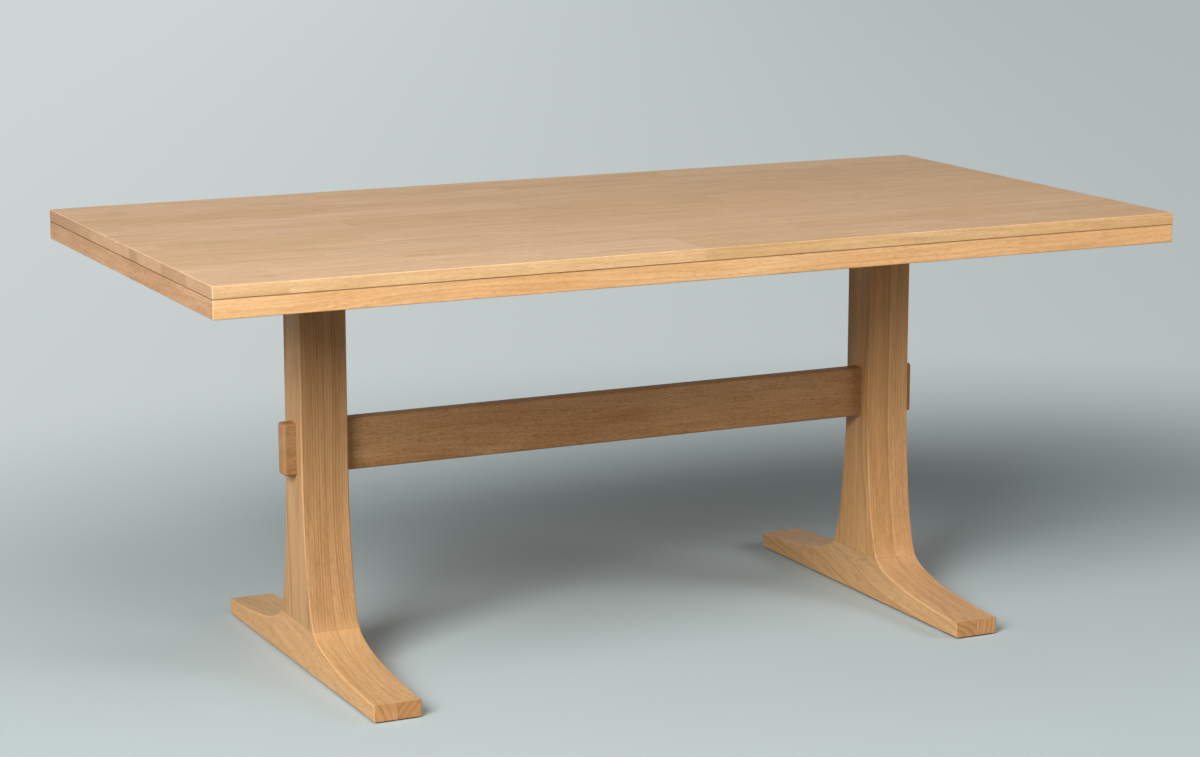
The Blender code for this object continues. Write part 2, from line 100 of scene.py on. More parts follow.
# The pedestals' curves
POST_HALF_DEPTH = 0.040
FLARE_TOP = 0.400
FLARE_TOP_PULL = 0.165
FLARE_SEAM_PULL = 0.025
SEAM_SLOPE = math.radians(46.0)
INSTEP_SEAM_PULL = 0.042
INSTEP_END_PULL = 0.152
INSTEP_END_SLOPE = math.radians(2.2)
FOOT_END_HEIGHT = 0.029

# Bolts and levellers
SHANK_RADIUS = 0.004
THREAD_PITCH = 0.00125
THREAD_DEPTH = 0.0007
THREAD_RINGS = 6
HEAD_HEIGHT = 0.003
HEAD_ROUND = 0.0008
HEAD_CLEARANCE = 0.0005
SOCKET_HALF_WIDTH = 0.0025
SOCKET_DEPTH = 0.0045
SOCKET_CHAMFER = 0.0003
PAD_THICKNESS = 0.0025
PAD_ROUND = 0.0008
STEM_HEADROOM = 0.003

# Mesh fineness and margins
EASE_SEGMENTS = 4
CURVE_STEPS = 40
TURN_STEPS = 48
SMOOTH_ANGLE = math.radians(35.0)
CUT_MARGIN = 0.010
ROUND_PROFILE = 0.5
SHARP_TOLERANCE = GLUE_GAP / 3
INSERT_REACH = 2 * SHANK_RADIUS

# Camera and light
CAMERA_PLACE = Vector((-2.3283, -4.7821, 1.5442))
CAMERA_TURN = math.radians(25.780)
CAMERA_TILT = math.radians(11.491)
CAMERA_LENS = 89.656
SENSOR_WIDTH = 36.0
LIGHT_AIM = Vector((0.0, 0.0, 0.45))
LAMPS = {
    "key light": {"place": Vector((-4.54, -3.42, 3.60)), "size": 3.0, "power": 490.0, "sheen": True},
    "top light": {"place": Vector((-0.90, -2.30, 3.45)), "size": 1.9, "power": 37.0, "sheen": True},
    "right fill": {"place": Vector((3.20, -2.40, 2.00)), "size": 1.8, "power": 60.0, "sheen": True},
    "back fill": {"place": Vector((0.90, 4.20, 0.40)), "size": 0.7, "power": 26.0, "sheen": False},
    "left fill": {"place": Vector((-4.20, 0.20, 1.90)), "size": 1.8, "power": 10.0, "sheen": True},
}
LAMP_COLOUR = (1.0, 0.985, 0.96)
AMBIENT_FRONT = (0.005, 0.005, 0.005)
AMBIENT_BACK = (0.06, 0.063, 0.063)
AMBIENT_TURN = (-0.2, 0.7)
BACKDROP_LEFT = (0.62, 0.665, 0.665)
BACKDROP_RIGHT = (0.44, 0.48, 0.48)
BACKDROP_ACROSS = (math.cos(CAMERA_TURN), -math.sin(CAMERA_TURN), 0.0)
BACKDROP_SPAN = 0.25
FLOOR_SPAN = 3.5
FLOOR_COLOUR = (0.490, 0.571, 0.590)
FLOOR_BOUNCE = (0.24, 0.24, 0.235)
FLOOR_RADIUS = 20.0
FLOOR_SEGMENTS = 96
FLOOR_ROUGHNESS = 0.85
FLOOR_SPECULAR = 0.2
FLOOR_MOTTLE_SCALE = (3.0, 3.0, 3.0)
FLOOR_MOTTLE = (0.985, 1.015)
FLOOR_FADE = (1.3, 3.0)
FLOOR_FADE_CENTRE = (0.5, -0.5, 0.0)

SLOTS = {part["node"]: part["material_slot"] for part in frame["record"]["subparts"]}
SIDES = ("left", "right")
LAYERS = ("outer", "inner")
ENDS = ("front", "back")
RAILS = ("left_bearer", "centre_batten", "right_bearer")
ALONG_Y = 1
ALONG_Z = 2


# Mesh helpers

def new_mesh(name, shape):
    """A finished bmesh as mesh data, with its faces turned outward."""
    bmesh.ops.recalc_face_normals(shape, faces=shape.faces)
    mesh = bpy.data.meshes.new(name)
    shape.to_mesh(mesh)
    shape.free()
    return mesh


def stacked(name, levels):
    """A solid through equal rings of points, one above another, closed at both ends."""
    shape = bmesh.new()
    rings = [[shape.verts.new(point) for point in level] for level in levels]
    count = len(rings[0])
    for lower, upper in zip(rings, rings[1:]):
        for i in range(count):
            j = (i + 1) % count
            shape.faces.new((lower[i], lower[j], upper[j], upper[i]))
    shape.faces.new(list(reversed(rings[0])))
    shape.faces.new(rings[-1])
    return new_mesh(name, shape)


def rounded_box(name, low, high, radius):
    """A box with every edge rounded."""
    shape = bmesh.new()
    middle = (low + high) / 2
    size = Matrix.Diagonal(high - low).to_4x4()
    bmesh.ops.create_cube(shape, size=1.0, matrix=Matrix.Translation(middle) @ size)
    bmesh.ops.bevel(
        shape, geom=list(shape.edges), offset=radius, segments=EASE_SEGMENTS + 1,
        profile=ROUND_PROFILE, affect="EDGES",
    )
    return new_mesh(name, shape)


def bezier(start, pull_start, pull_end, end):
    """Points along a cubic curve in a plane, without its start."""
    points = []
    for step in range(1, CURVE_STEPS + 1):
        t = step / CURVE_STEPS
        s = 1.0 - t
        weights = (s * s * s, 3 * s * s * t, 3 * s * t * t, t * t * t)
        knots = (start, pull_start, pull_end, end)
        points.append(tuple(sum(w * knot[axis] for w, knot in zip(weights, knots)) for axis in (0, 1)))
    return points


def ring_points(radius, height, kind):
    """One ring of a turned piece: round, the six flats of a socket, or a screw thread."""
    points = []
    for step in range(TURN_STEPS):
        angle = 2 * math.pi * step / TURN_STEPS
        reach = radius
        if kind == "hexagon":
            reach = radius / math.cos(angle % (math.pi / 3) - math.pi / 6)
        if kind == "thread":
            turn = (height / THREAD_PITCH - angle / (2 * math.pi)) % 1.0
            reach = radius - THREAD_DEPTH * abs(2 * turn - 1)
        points.append((reach * math.cos(angle), reach * math.sin(angle), height))
    return points


def turned(name, rings, place):
    """A turned piece through rings of (radius, height, kind), put in place by a matrix."""
    levels = [[place @ Vector(point) for point in ring_points(*ring)] for ring in rings]
    return stacked(name, levels)


def thread_rings(start, end):
    """Rings of a screw thread between two heights."""
    count = max(2, round((end - start) / THREAD_PITCH * THREAD_RINGS))
    return [(SHANK_RADIUS, start + (end - start) * i / count, "thread") for i in range(count + 1)]


def quarter_round(radius, height, round_size, down=False):
    """Rings that round a turned piece's edge, from its face at the height to its side, or back."""
    rings = []
    for step in range(EASE_SEGMENTS + 1):
        angle = math.pi / 2 * step / EASE_SEGMENTS
        out = radius - round_size * (1 - math.sin(angle))
        along = round_size * (1 - math.cos(angle))
        rings.append((out, height + along if not down else height - along, "round"))
    return rings if not down else list(reversed(rings))


def cylinder(name, centre, axis, radius, low, high):
    """A round cutter between two heights along an axis through the centre."""
    turn = Matrix.Rotation(-math.pi / 2, 4, "X") if axis == ALONG_Y else Matrix.Identity(4)
    foot = Vector(centre)
    foot[axis] = 0.0
    place = Matrix.Translation(foot) @ turn
    return turned(name, [(radius, low, "round"), (radius, high, "round")], place)


def carved(mesh, cutters):
    """The mesh with the cutters taken out of it, which are then removed."""
    blank = bpy.data.objects.new("blank", mesh)
    bpy.context.scene.collection.objects.link(blank)
    tools = []
    for cutter in cutters:
        tool = bpy.data.objects.new("cutter", cutter)
        bpy.context.scene.collection.objects.link(tool)
        boolean = blank.modifiers.new("cut", "BOOLEAN")
        boolean.operation = "DIFFERENCE"
        boolean.solver = "EXACT"
        boolean.object = tool
        tools.append(tool)
    graph = bpy.context.evaluated_depsgraph_get()
    result = bpy.data.meshes.new_from_object(blank.evaluated_get(graph))
    result.name = mesh.name
    for tool in tools:
        bpy.data.meshes.remove(tool.data)
    bpy.data.meshes.remove(mesh)
    return result


def add_piece(node, mesh, material):
    """A finished piece that stands for a CAD node, on that node's body."""
    mesh.materials.clear()
    mesh.materials.append(material)
    mesh.shade_smooth()
    mesh.set_sharp_from_angle(angle=SMOOTH_ANGLE)
    piece = bpy.data.objects.new(f"{node}_finished", mesh)
    bpy.context.scene.collection.objects.link(piece)
    normals = piece.modifiers.new("even shading", "WEIGHTED_NORMAL")
    normals.keep_sharp = True
    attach(piece, body_of(frame["nodes"][node])[0])
    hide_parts(node)


def dress(node, material):
    """A CAD node that stays as it is, with a new material."""
    materials = frame["nodes"][node].data.materials
    materials.clear()
    materials.append(material)


# Node helpers

NOISE_ROUGHNESS = 0.55
NO_TINT = (1.0, 1.0, 1.0, 1.0)
MIDDLE_GREY = (0.5, 0.5, 0.5)
MIX_FACTOR = 0
MIX_FIRST = 6
MIX_SECOND = 7
MIX_RESULT = 2


def put(tree, kind, inputs=None, **settings):
    """A new node, each input a plain value or another node's output."""
    made = tree.nodes.new(kind)
    for key, value in settings.items():
        setattr(made, key, value)
    for key, value in (inputs or {}).items():
        if isinstance(value, bpy.types.NodeSocket):
            tree.links.new(value, made.inputs[key])
        else:
            made.inputs[key].default_value = value
    return made


def calc(tree, operation, *values):
    """The output of a Math node."""
    return put(tree, "ShaderNodeMath", dict(enumerate(values)), operation=operation).outputs[0]


def vector(tree, operation, *values):
    """The vector output of a Vector Math node."""
    made = put(tree, "ShaderNodeVectorMath", dict(enumerate(values)), operation=operation)
    return made.outputs["Vector"]


def scaled(tree, colour, level):
    """A colour made lighter or darker by a level."""
    made = put(tree, "ShaderNodeVectorMath", {0: colour, "Scale": level}, operation="SCALE")
    return made.outputs["Vector"]


def length_of(tree, value):
    """The length of a vector."""
    return put(tree, "ShaderNodeVectorMath", {0: value}, operation="LENGTH").outputs["Value"]


def combined(tree, x, y, z):
    """A vector from three values."""
    return put(tree, "ShaderNodeCombineXYZ", {"X": x, "Y": y, "Z": z}).outputs[0]


def parted(tree, value):
    """The X, Y and Z outputs of a vector."""
    return put(tree, "ShaderNodeSeparateXYZ", {"Vector": value}).outputs


def noise(tree, place, scale, detail):
    """Noise with its own scale along each axis: its outputs, value first."""
    stretched = vector(tree, "MULTIPLY", place, scale)
    inputs = {"Vector": stretched, "Scale": 1.0, "Detail": detail, "Roughness": NOISE_ROUGHNESS}
    return put(tree, "ShaderNodeTexNoise", inputs).outputs


def spread(tree, value, low, high):
    """A value from 0 to 1 mapped to a range."""
    return put(tree, "ShaderNodeMapRange", {"Value": value, "To Min": low, "To Max": high}).outputs[0]


def step_up(tree, value, low, high):
    """A smooth step from 0 to 1 between two limits."""
    inputs = {"Value": value, "From Min": low, "From Max": high}
    return put(tree, "ShaderNodeMapRange", inputs, interpolation_type="SMOOTHSTEP").outputs[0]


def mix(tree, factor, first, second):
    """A blend of two colours, by the sockets that a Mix node keeps for colours."""
    inputs = {MIX_FACTOR: factor, MIX_FIRST: first, MIX_SECOND: second}
    return put(tree, "ShaderNodeMix", inputs, data_type="RGBA").outputs[MIX_RESULT]


def ramp(tree, factor, stops):
    """A value that follows stops of (place, level)."""
    node = put(tree, "ShaderNodeValToRGB", {"Fac": factor})
    points = node.color_ramp.elements
    while len(points) < len(stops):
        points.new(0.5)
    for point, (place, level) in zip(points, stops):
        point.position = place
        point.color = (level, level, level, 1.0)
    return node.outputs["Color"]


# Wood: lengths in metres, and scales per metre with the one along the grain first

# Darker grain is warmer: red falls less than green, and blue more
WARMTH = (0.8, 1.0, 1.45)

# Limits of a face's turn towards the grain, for calm figure and for end grain
CALM_SLANT = (0.10, 0.60)
END_SLANT = (0.75, 0.95)

# Staves
FINGER_WIDTH = 0.0024
FINGER_SLOPE = 3.6
STAVE_REACH = 9.0
ONE_STAVE = 50.0

# Pith and rings
PITH_DRIFTS = (((1.7, 5.0, 5.0), 1.0), ((8.0, 30.0, 30.0), 0.10))
UNEVEN_SCALE = 0.45
UNEVEN_SHARE = 2.4
RING_PROFILE = ((0.0, 0.05), (0.45, 0.12), (0.86, 1.0), (1.0, 0.05))
RING_DEPTHS = (0.25, 1.0)
CALM_RINGS = 0.6
END_RINGS = 2.4

# Fibres, pores and flecks
FINE_SCALE = (20.0, 480.0, 480.0)
MIDDLE_SCALE = (3.2, 80.0, 80.0)
BROAD_SCALE = (0.9, 11.0, 11.0)
PORE_SCALE = (55.0, 1300.0, 1300.0)
PORE_LIMITS = (0.60, 0.72)
FLECK_SCALE = (45.0, 520.0, 520.0)
FLECK_LIMITS = (0.50, 0.68)

# Tones
BLUSH_OF_LOT = -4.0
BLUSH_LIMITS = (0.36, 0.64)
END_LATE_SHARE = 0.2
FINE_SHARE = 0.6
SWAY_MEAN = 0.8
CALM_STREAKS = 0.45
PORE_TONE = 0.88
CALM_FLECKS = 0.25
END_LINE_TONE = 0.70

# Finish
WOOD_ROUGHNESS = 0.46
GRAIN_ROUGHNESS = 0.10
PORE_ROUGHNESS = 0.10
END_ROUGHNESS = 0.08
FINE_HEIGHT = 0.5
WOOD_BUMP = 0.25
WOOD_BUMP_HEIGHT = 0.0002
WOOD_IOR = 1.5
WOOD_SPECULAR = 0.25

# Settings of the figure where a piece has none of its own
FIGURE_DEFAULTS = {
    "Ring Width": 0.005,
    "Contrast": 0.6,
    "Wander": 0.03,
    "Streaks": 0.22,
    "Flecks": 0.14,
    "Shortness": 1.0,
    "Stave Length": ONE_STAVE,
    "Stave Shift": ONE_STAVE / 2,
    "Stave Tone": 0.10,
    "Stave Spread": 0.04,
    "End Tone": 0.95,
}


def wood_figure():
    """The shared node group: rings round a wandering pith, fibres, pores, staves and end grain."""
    tree = bpy.data.node_groups.new("wood figure", "ShaderNodeTree")
    kinds = {"Grain": "NodeSocketVector", "Slant": "NodeSocketFloat"}
    kinds.update({name: "NodeSocketColor" for name in ("Early", "Late", "Blush")})
    kinds.update({name: "NodeSocketFloat" for name in FIGURE_DEFAULTS})
    for name, kind in kinds.items():
        tree.interface.new_socket(name, in_out="INPUT", socket_type=kind)
    results = {"Color": "NodeSocketColor", "Roughness": "NodeSocketFloat", "Height": "NodeSocketFloat"}
    for name, kind in results.items():
        tree.interface.new_socket(name, in_out="OUTPUT", socket_type=kind)
    given = put(tree, "NodeGroupInput").outputs
    end = step_up(tree, given["Slant"], *END_SLANT)
    calm = step_up(tree, given["Slant"], *CALM_SLANT)

    # Staves joined end to end by fingers, each with its own grain and tone
    split = parted(tree, given["Grain"])
    comb = calc(tree, "MULTIPLY", calc(tree, "PINGPONG", split["Z"], FINGER_WIDTH), FINGER_SLOPE)
    along = calc(tree, "ADD", calc(tree, "ADD", split["X"], comb), given["Stave Shift"])
    index = calc(tree, "FLOOR", calc(tree, "DIVIDE", along, given["Stave Length"]))
    key = combined(tree, index, given["Stave Shift"], 0.0)
    chance = put(tree, "ShaderNodeTexWhiteNoise", {"Vector": key}, noise_dimensions="3D").outputs
    centred = vector(tree, "SUBTRACT", chance["Color"], MIDDLE_GREY)
    reach = combined(tree, STAVE_REACH, given["Stave Spread"], given["Stave Spread"])
    place = vector(tree, "ADD", given["Grain"], vector(tree, "MULTIPLY", centred, reach))
    lot = calc(tree, "MULTIPLY", calc(tree, "SUBTRACT", chance["Value"], 0.5), given["Stave Tone"])
    stave_tone = calc(tree, "ADD", lot, 1.0)

    # The pith wanders along the grain
    for scale, share in PITH_DRIFTS:
        drift = vector(tree, "SUBTRACT", noise(tree, place, scale, detail=1.0)["Color"], MIDDLE_GREY)
        size = calc(tree, "MULTIPLY", given["Wander"], share)
        sideways = combined(tree, 0.0, size, size)
        place = vector(tree, "ADD", place, vector(tree, "MULTIPLY", drift, sideways))

    # Growth rings of uneven width and depth
    radius = length_of(tree, vector(tree, "MULTIPLY", place, (0.0, 1.0, 1.0)))
    rings = calc(tree, "DIVIDE", radius, given["Ring Width"])
    inputs = {"W": rings, "Scale": UNEVEN_SCALE, "Detail": 1.0}
    uneven = put(tree, "ShaderNodeTexNoise", inputs, noise_dimensions="1D").outputs[0]
    rings = calc(tree, "MULTIPLY_ADD", uneven, UNEVEN_SHARE, rings)
    profile = ramp(tree, calc(tree, "FRACT", rings), RING_PROFILE)
    number = calc(tree, "FLOOR", rings)
    depth = put(tree, "ShaderNodeTexWhiteNoise", {"W": number}, noise_dimensions="1D").outputs["Value"]
    figure = calc(tree, "MULTIPLY", profile, spread(tree, depth, *RING_DEPTHS))
    figure = calc(tree, "MULTIPLY", figure, given["Contrast"])
    figure = calc(tree, "MULTIPLY", figure, spread(tree, calm, 1.0, CALM_RINGS))
    figure = calc(tree, "MULTIPLY", figure, spread(tree, end, 1.0, END_RINGS))

    # Fibres and pores, long or short along the grain
    fibre = vector(tree, "MULTIPLY", place, combined(tree, given["Shortness"], 1.0, 1.0))
    fine = noise(tree, fibre, FINE_SCALE, detail=3.0)[0]
    middle = noise(tree, fibre, MIDDLE_SCALE, detail=3.0)[0]
    broad = noise(tree, fibre, BROAD_SCALE, detail=2.0)[0]
    pores = step_up(tree, noise(tree, place, PORE_SCALE, detail=1.0)[0], *PORE_LIMITS)
    flecks = step_up(tree, noise(tree, fibre, FLECK_SCALE, detail=1.0)[0], *FLECK_LIMITS)

    # Colour
    blush = step_up(tree, calc(tree, "MULTIPLY_ADD", lot, BLUSH_OF_LOT, broad), *BLUSH_LIMITS)
    colour = mix(tree, blush, given["Early"], given["Blush"])
    colour = mix(tree, figure, colour, given["Late"])
    colour = mix(tree, calc(tree, "MULTIPLY", end, END_LATE_SHARE), colour, given["Late"])
    sway = calc(tree, "ADD", calc(tree, "MULTIPLY", fine, FINE_SHARE), middle)
    sway = calc(tree, "SUBTRACT", sway, SWAY_MEAN)
    streaks = calc(tree, "MULTIPLY", given["Streaks"], spread(tree, calm, 1.0, CALM_STREAKS))
    level = calc(tree, "MULTIPLY_ADD", sway, streaks, 1.0)
    level = calc(tree, "MULTIPLY", level, spread(tree, pores, 1.0, PORE_TONE))
    fleck_depth = calc(tree, "MULTIPLY", given["Flecks"], spread(tree, calm, -1.0, -CALM_FLECKS))
    fleck_level = calc(tree, "MULTIPLY_ADD", flecks, fleck_depth, 1.0)
    level = calc(tree, "MULTIPLY", level, fleck_level)
    end_lines = calc(tree, "MULTIPLY", calc(tree, "MINIMUM", figure, 1.0), end)
    level = calc(tree, "MULTIPLY", level, spread(tree, end_lines, 1.0, END_LINE_TONE))
    end_level = calc(tree, "MULTIPLY_ADD", end, calc(tree, "SUBTRACT", given["End Tone"], 1.0), 1.0)
    level = calc(tree, "MULTIPLY", level, end_level)
    warmth = combined(tree, *(calc(tree, "POWER", level, power) for power in WARMTH))
    colour = scaled(tree, vector(tree, "MULTIPLY", colour, warmth), stave_tone)

    # Roughness and relief
    rough = calc(tree, "MULTIPLY_ADD", middle, GRAIN_ROUGHNESS, WOOD_ROUGHNESS)
    rough = calc(tree, "MULTIPLY_ADD", pores, PORE_ROUGHNESS, rough)
    rough = calc(tree, "MULTIPLY_ADD", end, END_ROUGHNESS, rough)
    height = calc(tree, "SUBTRACT", calc(tree, "MULTIPLY", fine, FINE_HEIGHT), pores)
    put(tree, "NodeGroupOutput", {"Color": colour, "Roughness": rough, "Height": height})
    return tree


FIGURE = wood_figure()

# Palettes, tints and tones of the wooden pieces, some of them painted light and shade
PANEL = {"Early": (0.682, 0.441, 0.262), "Late": (0.49, 0.265, 0.112), "Blush": (0.652, 0.403, 0.216)}
LONG_BAND = {"Early": (0.79, 0.502, 0.258), "Late": (0.54, 0.275, 0.10), "Blush": (0.775, 0.442, 0.200)}
END_BAND = {"Early": (0.580, 0.345, 0.190), "Late": (0.34, 0.168, 0.070), "Blush": (0.515, 0.285, 0.145)}
POST = {"Early": (0.62, 0.370, 0.175), "Late": (0.36, 0.184, 0.068), "Blush": (0.55, 0.310, 0.132)}
FOOT = {"Early": (0.68, 0.402, 0.190), "Late": (0.41, 0.205, 0.076), "Blush": (0.60, 0.340, 0.150)}
# The stretcher's palette is a little darker than its wood, as painted shade; its end tone lifts the proud
# end faces
STRETCHER = {"Early": (0.474, 0.269, 0.126), "Late": (0.298, 0.146, 0.055), "Blush": (0.414, 0.215, 0.094)}
# Painted light and shade per post: the right post lighter, the left one darker
POST_LIGHT_AND_SHADE = {"left": 0.94, "right": 1.20}
POST_CONTRASTS = {"left": 0.95, "right": 0.70}
# Painted shade on the right foot, darker than the left
FOOT_SHADE = {"left": 1.0, "right": 0.87}
EDGE_TINT = (1.07, 1.06, 0.90)
END_TINT = (0.97, 0.99, 1.10)
# Painted highlights: the eased edges are made paler where a rounded arris would catch the light
RIM_HIGHLIGHT = 1.16
POST_RIM_HIGHLIGHT = 1.20
FOOT_RIM_HIGHLIGHT = 1.09
RIM_HIGHLIGHT_TURN = (0.03, 0.22)
# Painted shade inside the bands' groove
GROOVE_SHADE = 0.72
POST_GLUE_TONE = 0.80
FOOT_GLUE_TONE = 0.72
# Painted shade on the posts' front and back faces
POST_FRONT_SHADE = (0.90, 0.855, 0.81)
# Painted light on the feet's sides, far more on the left foot's
FOOT_SIDE_LIGHT = {"left": (1.19, 1.23, 1.29), "right": (1.05, 1.07, 1.09)}
# Painted light and sheen on the left foot's upward faces, and a slight painted shade on the right foot's
FOOT_TOP_LIGHT = {"left": (1.03, 1.07, 1.10), "right": (0.99, 0.97, 0.98)}
FOOT_END_TINT = (1.055, 0.97, 0.895)
FACE_TURN = (0.5, 0.9)
GRAIN_ORDERS = {"x": ("X", "Y", "Z"), "y": ("Y", "X", "Z"), "z": ("Z", "X", "Y")}


def toned(palette, tone):
    """A palette made lighter or darker."""
    return {key: tuple(tone * level for level in colour) for key, colour in palette.items()}


def wood(
    name, palette, axis, pith, shift=0.0, lean=0.0, line=None, faces=None, rim=None, swept=False,
    specular=WOOD_SPECULAR, **wanted,
):
    """Wood with its grain along an axis, leaning off it by a slope, and its pith at a place across it.

    A line of (axis, place, half width, tone) is darker: a glue line, or painted shade inside a groove.
    Faces maps an axis to the tint of the faces square to it: some tints are end grain, which is sawn
    another way, and some are painted light or shade on faces turned to or from the lamps. A rim tone is a
    painted highlight, which makes the eased edges paler. On a swept piece, whose outline bends in the YZ
    plane, they are the edges along that outline. What else is wanted are settings of the figure.
    """
    material = bpy.data.materials.new(name)
    material.use_nodes = True
    tree = material.node_tree
    shader = tree.nodes["Principled BSDF"]
    coordinates = put(tree, "ShaderNodeTexCoord").outputs
    order = GRAIN_ORDERS[axis]
    place = parted(tree, coordinates["Object"])
    grain = vector(tree, "SUBTRACT", combined(tree, *(place[key] for key in order)), (0.0, *pith))
    grain = vector(tree, "MULTIPLY_ADD", place[order[0]], (0.0, 0.0, lean), grain)
    normal = parted(tree, coordinates["Normal"])
    sides = {key: calc(tree, "ABSOLUTE", normal[key]) for key in order}
    inputs = {"Grain": grain, "Slant": sides[order[0]], **FIGURE_DEFAULTS}
    inputs["Stave Shift"] += shift
    for key, value in wanted.items():
        inputs[key.replace("_", " ").title()] = value
    for key, value in palette.items():
        inputs[key] = (*value, 1.0)
    group = put(tree, "ShaderNodeGroup", inputs, node_tree=FIGURE)
    colour = group.outputs["Color"]
    # Tints by facing: some for end grain, some painted light or shade on faces turned to or from the lamps
    for face_axis, tint in (faces or {}).items():
        facing = step_up(tree, sides[face_axis], *FACE_TURN)
        colour = vector(tree, "MULTIPLY", colour, mix(tree, facing, NO_TINT, (*tint, 1.0)))
    # Painted highlight: the eased edges made paler by the rim tone
    if rim:
        outward = calc(tree, "MAXIMUM", sides["Y"], sides["Z"])
        if swept:
            squared = calc(tree, "MULTIPLY", sides["X"], sides["X"])
            outward = calc(tree, "SQRT", calc(tree, "SUBTRACT", 1.0, squared))
        squarest = calc(tree, "MAXIMUM", sides["X"], outward)
        eased = step_up(tree, calc(tree, "SUBTRACT", 1.0, squarest), *RIM_HIGHLIGHT_TURN)
        colour = scaled(tree, colour, spread(tree, eased, 1.0, rim))
    # A darker line: a glue line, or painted shade inside a groove
    if line:
        line_axis, line_place, half_width, tone = line
        off = calc(tree, "ABSOLUTE", calc(tree, "SUBTRACT", place[line_axis], line_place))
        inside = calc(tree, "LESS_THAN", off, half_width)
        colour = scaled(tree, colour, spread(tree, inside, 1.0, tone))
    relief = {"Strength": WOOD_BUMP, "Distance": WOOD_BUMP_HEIGHT, "Height": group.outputs["Height"]}
    bump = put(tree, "ShaderNodeBump", relief)
    tree.links.new(colour, shader.inputs["Base Color"])
    tree.links.new(group.outputs["Roughness"], shader.inputs["Roughness"])
    tree.links.new(bump.outputs["Normal"], shader.inputs["Normal"])
    shader.inputs["IOR"].default_value = WOOD_IOR
    shader.inputs["Specular IOR Level"].default_value = specular
    return material


# Metal and plastic

CLOUD_SCALE = 90.0
ROUGHNESS_SPREAD = 0.08
HARDWARE_BUMP = 0.3
HARDWARE_BUMP_HEIGHT = 0.0001


def hardware(name, colour, dark, roughness, metallic, grain_scale):
    """A metal or plastic whose tone and roughness vary over its surface."""
    material = bpy.data.materials.new(name)
    material.use_nodes = True
    tree = material.node_tree
    shader = tree.nodes["Principled BSDF"]
    place = put(tree, "ShaderNodeTexCoord").outputs["Object"]
    cloud = noise(tree, place, (CLOUD_SCALE, CLOUD_SCALE, CLOUD_SCALE), detail=3.0)[0]
    grain = noise(tree, place, (grain_scale, grain_scale, grain_scale), detail=2.0)[0]
    colours = mix(tree, cloud, (*dark, 1.0), (*colour, 1.0))
    rough = spread(tree, grain, roughness - ROUGHNESS_SPREAD, roughness + ROUGHNESS_SPREAD)
    relief = {"Strength": HARDWARE_BUMP, "Distance": HARDWARE_BUMP_HEIGHT, "Height": grain}
    bump = put(tree, "ShaderNodeBump", relief)
    tree.links.new(colours, shader.inputs["Base Color"])
    tree.links.new(rough, shader.inputs["Roughness"])
    tree.links.new(bump.outputs["Normal"], shader.inputs["Normal"])
    shader.inputs["Metallic"].default_value = metallic
    return material


STEEL = hardware(
    "zinc plated steel", colour=(0.62, 0.62, 0.62), dark=(0.46, 0.46, 0.47),
    roughness=0.34, metallic=1.0, grain_scale=2200.0,
)
BRASS = hardware(
    "insert brass", colour=(0.66, 0.50, 0.23), dark=(0.52, 0.37, 0.16),
    roughness=0.38, metallic=1.0, grain_scale=1800.0,
)
NYLON = hardware(
    "leveller nylon", colour=(0.055, 0.046, 0.040), dark=(0.038, 0.031, 0.026),
    roughness=0.60, metallic=0.0, grain_scale=2600.0,
)


# Bores that the hidden hardware sits in

def centre_of(node):
    """The middle of a CAD node's box."""
    low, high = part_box(node)
    return (low + high) / 2


def bore(node, axis, before, after):
    """A cutter for a round CAD node along y or z, longer than it by the two margins."""
    low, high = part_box(node)
    radius = (high.x - low.x) / 2 + GLUE_GAP
    start = low[axis] - before
    return cylinder(f"{node}_bore", centre_of(node), axis, radius, start, high[axis] + after)


# Table top

def rim_outline(low, high, rims, inset):
    """A plan outline set in from the rim sides only, with round corners where two rims meet."""
    near_x = low.x + (inset if "left" in rims else 0.0)
    far_x = high.x - (inset if "right" in rims else 0.0)
    near_y = low.y + (inset if "front" in rims else 0.0)
    far_y = high.y - (inset if "back" in rims else 0.0)
    corners = (
        (near_x, near_y, 1, 1, {"left", "front"}, math.pi),
        (far_x, near_y, -1, 1, {"right", "front"}, 1.5 * math.pi),
        (far_x, far_y, -1, -1, {"right", "back"}, 0.0),
        (near_x, far_y, 1, -1, {"left", "back"}, 0.5 * math.pi),
    )
    points = []
    for x, y, inward_x, inward_y, needed, start in corners:
        if not needed <= rims:
            points.append((x, y))
            continue
        radius = CORNER_ROUND - inset
        for step in range(EASE_SEGMENTS + 1):
            angle = start + math.pi / 2 * step / EASE_SEGMENTS
            points.append(
                (x + radius * (inward_x + math.cos(angle)), y + radius * (inward_y + math.sin(angle)))
            )
    return points


def ease_steps(size):
    """Pairs of (inset, distance from the face) round a quarter circle."""
    steps = []
    for step in range(EASE_SEGMENTS + 1):
        angle = math.pi / 2 * step / EASE_SEGMENTS
        steps.append((size * (1 - math.sin(angle)), size * (1 - math.cos(angle))))
    return steps


BOARD_STAVE = 0.73
BOARD_JOINT = -0.04
BOARD_STARTS = (2.51, 3.02, 4.56, 5.10, 6.60, 7.11, 8.63, 9.15, 10.66, 11.0)
END_TONES = (0.70, 0.77, 0.89, 0.96, 1.00, 0.72, 0.97, 0.83, 0.74, 0.88)
PANEL_PITH_DROP = 0.055
PANEL_SPECULAR = 0.4
PANEL_FIGURE = {
    "ring_width": 0.006,
    "contrast": 0.42,
    "wander": 0.05,
    "streaks": 0.55,
    "flecks": 0.12,
    "shortness": 2.0,
    "stave_length": BOARD_STAVE,
    "stave_tone": 0.07,
    "stave_spread": 0.06,
}


